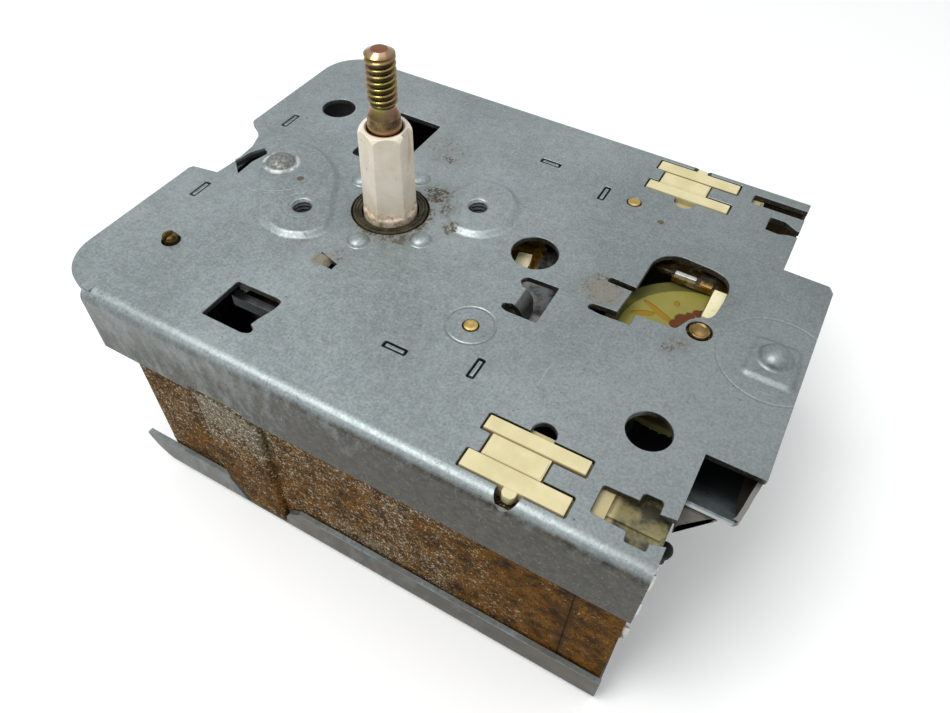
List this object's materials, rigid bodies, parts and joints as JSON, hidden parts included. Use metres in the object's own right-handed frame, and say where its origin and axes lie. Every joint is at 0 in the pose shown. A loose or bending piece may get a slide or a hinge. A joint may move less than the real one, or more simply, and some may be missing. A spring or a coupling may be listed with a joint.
{
  "type": "programmable timer",
  "caption": "Laundry-machine timer: steel channel case, turning cam drum on a push-pull threaded shaft, step motor, snail cam and spring switch blades.",
  "frame": {"origin": "centre of the box's footprint, on the outer face of the rear plate", "axes": "+X along the plates towards the terminal end, +Y across them, +Z along the shaft, out of the panel"},
  "size_m": [0.1146, 0.0866, 0.0794],
  "materials": {
    "galvanised": "galvanised sheet steel, mottled and spotted",
    "dark_steel": "dark oiled steel",
    "rusted_steel": "bare steel, rusted brown",
    "plated_brass": "yellow brass or yellow-passivated zinc plating",
    "bronze_blade": "phosphor bronze spring strip",
    "white_plastic": "off-white moulded plastic",
    "cream_plastic": "cream moulded thermoset",
    "yellow_plastic": "pale olive-yellow moulded plastic, greased",
    "black_plastic": "black moulded plastic",
    "copper_coil": "enamelled copper winding",
    "magnet": "dark ferrite magnet"
  },
  "bodies": {
    "case": {"front_plate": "galvanised", "rear_plate": "galvanised", "left_bracket": "galvanised", "back_corner_bracket": "galvanised", "front_corner_bracket": "galvanised", "end_wall": "galvanised", "cam_bracket": "galvanised", "motor_can": "galvanised", "motor_cover": "galvanised", "line_lever_yoke": "galvanised", "end_bracket": "dark_steel", "shaft_bushing": "dark_steel", "detent_spring": "dark_steel", "lever_spring": "dark_steel", "idler_pin_1": "dark_steel", "idler_pin_2": "dark_steel", "line_lever_pin": "dark_steel", "front_wall": "rusted_steel", "back_wall": "rusted_steel", "rear_bearing": "plated_brass", "detent_pin": "plated_brass", "lever_pin": "plated_brass", "cam_arbor": "plated_brass", "line_switch_post": "plated_brass", "line_terminal_1": "plated_brass", "line_terminal_2": "plated_brass", "front_terminal_1": "plated_brass", "front_terminal_2": "plated_brass", "front_terminal_3": "plated_brass", "front_contact_1": "plated_brass", "front_contact_2": "plated_brass", "front_contact_3": "plated_brass", "back_terminal_1": "plated_brass", "back_terminal_2": "plated_brass", "back_contact_1": "plated_brass", "back_contact_2": "plated_brass", "front_switch_block": "cream_plastic", "back_switch_block": "cream_plastic", "line_switch_body": "black_plastic", "lead_stop": "black_plastic", "motor_coil": "copper_coil"},
    "program_drum": {"cam_drum": "black_plastic", "ratchet_wheel": "plated_brass", "dial_sleeve": "white_plastic"},
    "stud": {"pull_stud": "plated_brass"},
    "rotor": {"motor_rotor": "magnet"},
    "first_idler": {"idler_gear_1": "plated_brass"},
    "second_idler": {"idler_gear_2": "plated_brass"},
    "timing_cam": {"snail_cam": "yellow_plastic"},
    "lever": {"drive_lever": "galvanised", "pawl_spring": "dark_steel"},
    "pawl": {"drive_pawl": "plated_brass"},
    "detent": {"detent_pawl": "galvanised"},
    "line_arm": {"line_lever": "galvanised"},
    "plunger": {"line_plunger": "white_plastic"},
    "front_arm_1": {"front_cam_arm_1": "bronze_blade"},
    "front_arm_2": {"front_cam_arm_2": "bronze_blade"},
    "front_arm_3": {"front_cam_arm_3": "bronze_blade"},
    "back_arm_1": {"back_cam_arm_1": "bronze_blade"},
    "back_arm_2": {"back_cam_arm_2": "bronze_blade"}
  },
  "joints": [
    {"name": "program_turn", "type": "hinge", "parent": "case", "child": "program_drum", "pos_m": [-0.0179, 0, 0.049], "axis": [0, 0, 1], "continuous": true},
    {"name": "stud_pull", "type": "slide", "parent": "program_drum", "child": "stud", "axis": [0, 0, 1], "range_m": [0, 0.0032]},
    {"name": "motor_turn", "type": "hinge", "parent": "case", "child": "rotor", "pos_m": [0.0311, 0, 0.049], "axis": [0, 0, 1], "continuous": true},
    {"name": "first_idler_turn", "type": "hinge", "parent": "case", "child": "first_idler", "pos_m": [0.02173, -0.00827, 0.049], "axis": [0, 0, 1], "continuous": true},
    {"name": "second_idler_turn", "type": "hinge", "parent": "case", "child": "second_idler", "pos_m": [0.03375, -0.01169, 0.049], "axis": [0, 0, 1], "continuous": true},
    {"name": "cam_turn", "type": "hinge", "parent": "case", "child": "timing_cam", "pos_m": [0.0405, 0, 0.049], "axis": [0, 0, 1], "continuous": true},
    {"name": "lever_swing", "type": "hinge", "parent": "case", "child": "lever", "pos_m": [0.0196, 0.0252, 0.049], "axis": [0, 0, 1], "range_deg": [0, 14.4], "stiffness_Nm_per_rad": 0.03},
    {"name": "pawl_swing", "type": "hinge", "parent": "lever", "child": "pawl", "pos_m": [0.0087, 0.0196, 0.049], "axis": [0, 0, 1], "range_deg": [-18.5, 0]},
    {"name": "detent_swing", "type": "hinge", "parent": "case", "child": "detent", "pos_m": [0.0087, -0.0175, 0.049], "axis": [0, 0, 1], "range_deg": [-6, 0], "stiffness_Nm_per_rad": 0.02},
    {"name": "line_lever_tilt", "type": "hinge", "parent": "case", "child": "line_arm", "pos_m": [-0.03233, -0.01385, 0.0051], "axis": [0.6926, -0.7213, 0], "range_deg": [0, 9.3]},
    {"name": "plunger_slide", "type": "slide", "parent": "case", "child": "plunger", "axis": [0, 0, 1], "range_m": [-0.003, 0]},
    {"name": "front_arm_1_flex", "type": "hinge", "parent": "case", "child": "front_arm_1", "pos_m": [0.0189, -0.03135, 0.049], "axis": [0, 0, 1], "range_deg": [0, 2], "stiffness_Nm_per_rad": 0.1},
    {"name": "front_arm_2_flex", "type": "hinge", "parent": "case", "child": "front_arm_2", "pos_m": [0.0189, -0.03135, 0.049], "axis": [0, 0, 1], "range_deg": [0, 2], "stiffness_Nm_per_rad": 0.1},
    {"name": "front_arm_3_flex", "type": "hinge", "parent": "case", "child": "front_arm_3", "pos_m": [0.0189, -0.03135, 0.049], "axis": [0, 0, 1], "range_deg": [0, 2], "stiffness_Nm_per_rad": 0.1},
    {"name": "back_arm_1_flex", "type": "hinge", "parent": "case", "child": "back_arm_1", "pos_m": [0.0189, 0.03135, 0.049], "axis": [0, 0, -1], "range_deg": [0, 2], "stiffness_Nm_per_rad": 0.1},
    {"name": "back_arm_2_flex", "type": "hinge", "parent": "case", "child": "back_arm_2", "pos_m": [0.0189, 0.03135, 0.049], "axis": [0, 0, -1], "range_deg": [0, 2], "stiffness_Nm_per_rad": 0.1}
  ],
  "couplings": [
    {"joint": "first_idler_turn", "follows": "motor_turn", "ratio": -0.25},
    {"joint": "second_idler_turn", "follows": "motor_turn", "ratio": 0.0625},
    {"joint": "cam_turn", "follows": "motor_turn", "ratio": -0.014205},
    {"joint": "pawl_swing", "follows": "lever_swing", "ratio": -1.27},
    {"joint": "line_lever_tilt", "follows": "stud_pull", "rad_per_m": 50},
    {"joint": "plunger_slide", "follows": "stud_pull", "ratio": -0.9}
  ]
}
